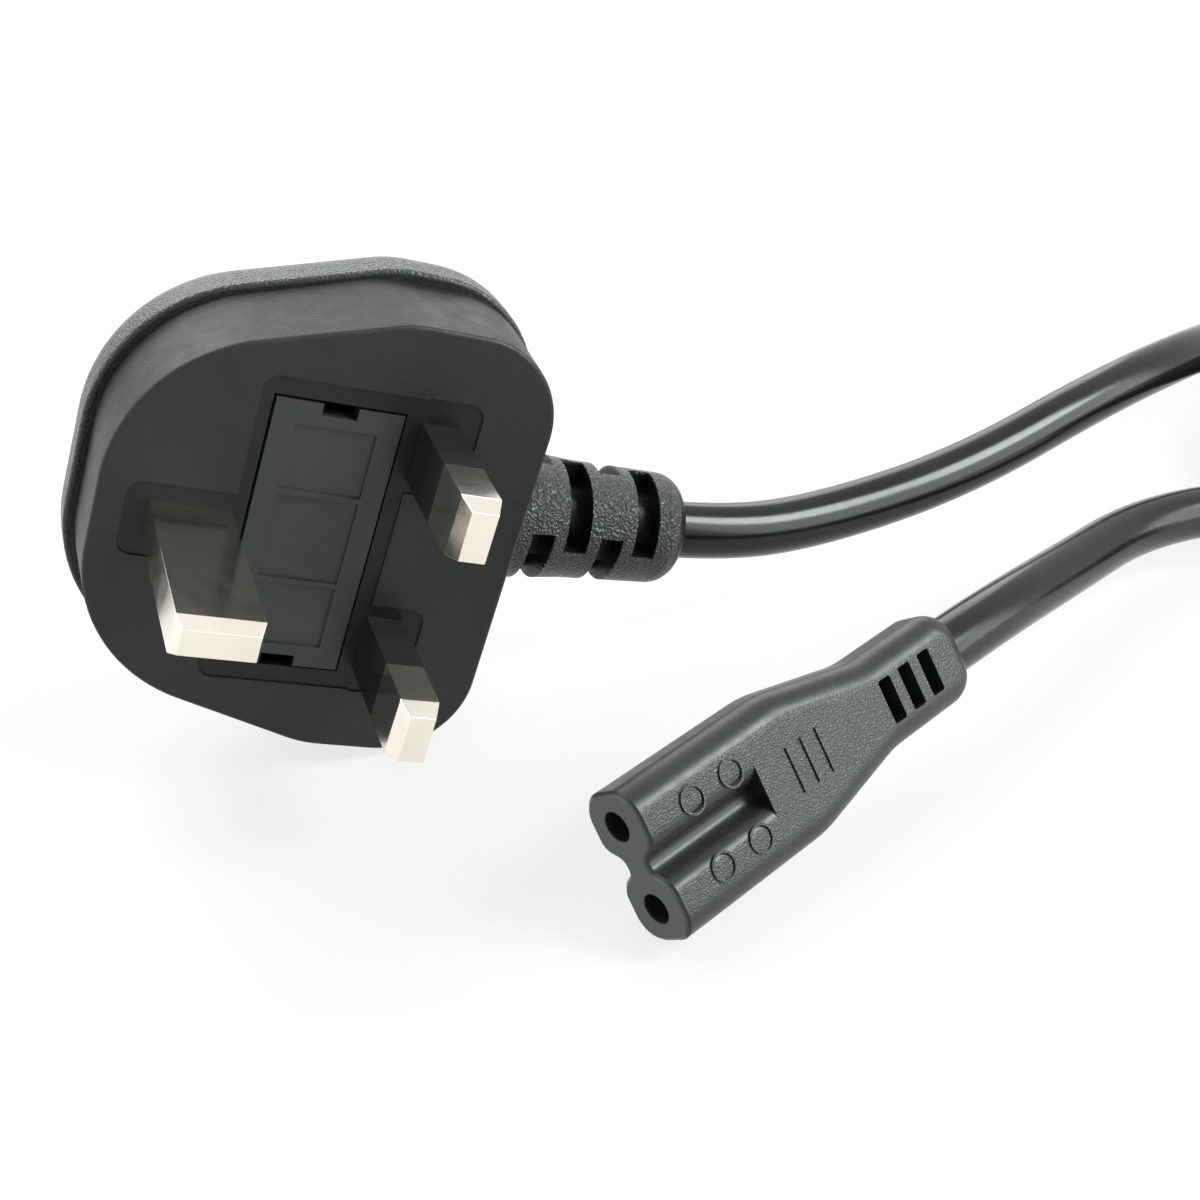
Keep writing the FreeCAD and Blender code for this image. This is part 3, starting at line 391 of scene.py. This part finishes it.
LOOKS = {
    "plug": ("plug_body",),
    "connector": ("connector_body",),
    "bridge": ("pin_bridge",),
    "carrier": ("contact_carrier",),
    "drawer": ("fuse_carrier",),
    "sleeve": ("line_pin_sleeve", "neutral_pin_sleeve"),
    "nickel": ("line_pin", "neutral_pin", "earth_pin", "fuse_cap_supply", "fuse_cap_line"),
    "brass": (
        "line_fuse_clip",
        "supply_fuse_clip",
        "neutral_crimp",
        "supply_crimp",
        "contact_upper",
        "contact_lower",
        "fuse_wire",
    ),
    "ceramic": ("fuse_barrel",),
    "brown": ("brown_core", "brown_core_end"),
    "blue": ("blue_core", "blue_core_end"),
    "strap": ("cord_tie",),
}


def paint_nodes(materials):
    for look, names in LOOKS.items():
        for name in names:
            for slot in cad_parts[name].material_slots:
                slot.material = materials[look]


# Rigid pieces whose edges are rounded: radius in mm, the least angle of an edge that is rounded,
# look, slot and body

SOFT_EDGES = {
    "earth_pin": (0.45, 12, "nickel", "nickel", "lead"),
    "line_pin": (0.4, 12, "nickel", "nickel", "lead"),
    "neutral_pin": (0.4, 12, "nickel", "nickel", "lead"),
    "pin_bridge": (0.22, 40, "bridge", "black_bridge", "lead"),
    "fuse_carrier": (0.14, 40, "drawer", "drawer_plastic", "fuse_drawer"),
}
WELD_GAP = 0.01
EDGE_STEPS = 4


def soften_edges(materials):
    """The plated pins and the moulded plates have rounded edges."""
    for name, (radius, angle, look, slot, body) in SOFT_EDGES.items():
        piece = bpy.data.objects.new(f"{name}_rounded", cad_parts[name].data.copy())
        bpy.context.collection.objects.link(piece)
        piece.data.materials.clear()
        piece.data.materials.append(materials[look])
        weld = piece.modifiers.new("weld", "WELD")
        weld.merge_threshold = WELD_GAP * MM
        bevel = piece.modifiers.new("bevel", "BEVEL")
        bevel.width = radius * MM
        bevel.segments = EDGE_STEPS
        bevel.limit_method = "ANGLE"
        bevel.angle_limit = math.radians(angle)
        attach(piece, body)
        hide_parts(name)


# Cord

CORD_DIAMETER = 6.6
COIL_CENTRE = (142.6, 80.0)
COIL_RADIUS = 33.0
POINTS_PER_TURN = 16
TIE_THICK = 0.7

# Control points of the cord from the plug to the coil and from the connector to the coil, in mm

PLUG_SIDE = [
    (13.64, 24.51, 16.40),
    (22.58, 27.56, 13.80),
    (35.6, 34.8, 12.2),
    (54.2, 45.5, 13.5),
    (74.7, 61.2, 17.5),
    (91.0, 76.5, 17.2),
    (100.6, 89.8, 13.8),
    (108.0, 103.5, 11.2),
]
SOCKET_SIDE = [
    (43.16, 4.71, 10.43),
    (50.06, 11.64, 11.07),
    (64.2, 28.2, 9.1),
    (75.2, 40.6, 8.1),
    (89.8, 49.2, 6.8),
    (106.6, 50.8, 5.0),
    (122.4, 45.4, 4.1),
]

# Where the coil begins and ends, and where and over how much a turn shifts to the next, in degrees

COIL_START = 124
COIL_END = -98
SHIFT_ANGLE = -180
SHIFT_WIDE = 50


def coil_slots():
    """Radius and height of each turn: inwards along the upper layer, outwards below."""
    low = TIE_THICK + CORD_DIAMETER / 2
    high = low + CORD_DIAMETER
    steps = (1, 0, -1)
    upper = [(COIL_RADIUS + CORD_DIAMETER * step, high) for step in steps]
    lower = [(COIL_RADIUS - CORD_DIAMETER * step, low) for step in steps]
    return upper + lower


def coil_points():
    """Control points of the turns, clockwise from where the plug's side comes in."""
    slots = coil_slots()
    turn = 360 / POINTS_PER_TURN
    # a quadratic curve cuts inside its control points by this much
    outward = 1 / (0.75 + 0.25 * math.cos(math.radians(turn)))
    sweep = COIL_START - COIL_END + 360 * (len(slots) - 1)
    count = round(sweep / turn)
    points = []
    for i in range(count + 1):
        angle = COIL_START - sweep * i / count
        passed = (SHIFT_ANGLE - angle) / 360
        slot = min(max(math.floor(passed + 1 - SHIFT_WIDE / 720), 0), len(slots) - 1)
        share = min(max((passed - slot) * 360 / SHIFT_WIDE + 0.5, 0), 1)
        before = slots[slot]
        after = slots[min(slot + 1, len(slots) - 1)]
        radius = before[0] + (after[0] - before[0]) * share
        height = before[1] + (after[1] - before[1]) * share
        bearing = math.radians(angle)
        x = COIL_CENTRE[0] + radius * outward * math.cos(bearing)
        y = COIL_CENTRE[1] + radius * outward * math.sin(bearing)
        points.append((x, y, height))
    return points


def make_cord(material):
    curve = bpy.data.curves.new("cord", "CURVE")
    curve.dimensions = "3D"
    curve.resolution_u = 12
    curve.bevel_depth = CORD_DIAMETER / 2 * MM
    curve.bevel_resolution = 7
    curve.use_fill_caps = True
    points = PLUG_SIDE + coil_points() + SOCKET_SIDE[::-1]
    spline = curve.splines.new("NURBS")
    spline.points.add(len(points) - 1)
    for control, point in zip(spline.points, points):
        control.co = (*mm(*point), 1)
    spline.order_u = 3
    spline.use_endpoint_u = True
    spline.use_smooth = True
    cord = bpy.data.objects.new("cord", curve)
    bpy.context.collection.objects.link(cord)
    curve.materials.append(material)
    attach(cord, "lead")
    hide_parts("cord_from_plug", "cord_from_connector", "cord_coil")


# Stage


def seen(nodes):
    """1 where the camera sees this, directly or in a shiny or clear surface, otherwise 0."""
    path = nodes.add("ShaderNodeLightPath").outputs
    share = nodes.maths("MAXIMUM", path["Is Camera Ray"], path["Is Glossy Ray"])
    return nodes.maths("MAXIMUM", share, path["Is Transmission Ray"])


FLOOR_SIZE = 6
FLOOR_GLOW = 0.77

# How much the floor's glow grows where the lamps' light fades, and between which distances in m

GLOW_MORE = 0.3
FADE_FROM = 0.1
FADE_TO = 0.9


def make_floor():
    bpy.ops.mesh.primitive_plane_add(size=FLOOR_SIZE, location=(0, 0, 0))
    floor = bpy.context.object
    floor.name = "floor"
    nodes = Nodes("floor")
    colour = nodes.ramp(nodes.noise(4, 2), (0.16, 0.16, 0.16), (0.165, 0.165, 0.165))
    gloss = nodes.spread(nodes.noise(20, 2), 0.5, 0.6)
    nodes.finish(colour, gloss, Specular_IOR_Level=0.2)
    nodes.shader.inputs["Emission Color"].default_value = (1, 1, 1, 1)
    away = nodes.add("ShaderNodeVectorMath", operation="LENGTH")
    nodes.join(nodes.place, away.inputs[0])
    more = nodes.spread(away.outputs["Value"], 0, GLOW_MORE, FADE_FROM, FADE_TO)
    glow = nodes.maths("MULTIPLY", seen(nodes), nodes.maths("ADD", more, FLOOR_GLOW))
    nodes.join(glow, nodes.shader.inputs["Emission Strength"])
    floor.data.materials.append(nodes.material)


class WorldNodes(Nodes):
    """The same helpers for the world's own nodes."""

    def __init__(self, world):
        world.use_nodes = True
        self.tree = world.node_tree
        self.shader = self.tree.nodes["Background"]


AMBIENT = 0.3


def make_world():
    world = bpy.data.worlds.new("studio")
    bpy.context.scene.world = world
    nodes = WorldNodes(world)
    strength = nodes.maths("MULTIPLY_ADD", seen(nodes), 1 - AMBIENT, AMBIENT)
    nodes.join(strength, nodes.shader.inputs["Strength"])
    nodes.shader.inputs["Color"].default_value = (1, 1, 1, 1)


# Lamps: place and target in metres, size in metres and power in watts

LAMPS = {
    "key": ((-0.35, 0.35, 0.75), (0, 0, 0), (0.5, 0.5), 4),
    "back": ((-0.2, 0.75, 0.35), (0, 0, 0), (1.0, 0.4), 2.6),
    "streak": ((0.66, -0.04, 0.57), (0, 0, 0), (0.3, 0.3), 5.6),
    "left": ((-0.6, -0.05, 0.25), (0, 0, 0.02), (0.5, 0.4), 1.2),
    "right": ((0.6, -0.1, 0.22), (0, 0, 0.02), (0.5, 0.4), 2.4),
}


def make_lights():
    for name, (place, target, size, power) in LAMPS.items():
        data = bpy.data.lights.new(name, "AREA")
        data.shape = "RECTANGLE"
        data.size, data.size_y = size
        data.energy = power
        light = bpy.data.objects.new(name, data)
        light.location = place
        away = Vector(target) - Vector(place)
        light.rotation_euler = away.to_track_quat("-Z", "Y").to_euler()
        bpy.context.collection.objects.link(light)


make_camera()
materials = make_materials()
make_cord(materials["jacket"])
paint_nodes(materials)
soften_edges(materials)
make_floor()
make_world()
make_lights()
bpy.context.scene.view_settings.view_transform = "Standard"
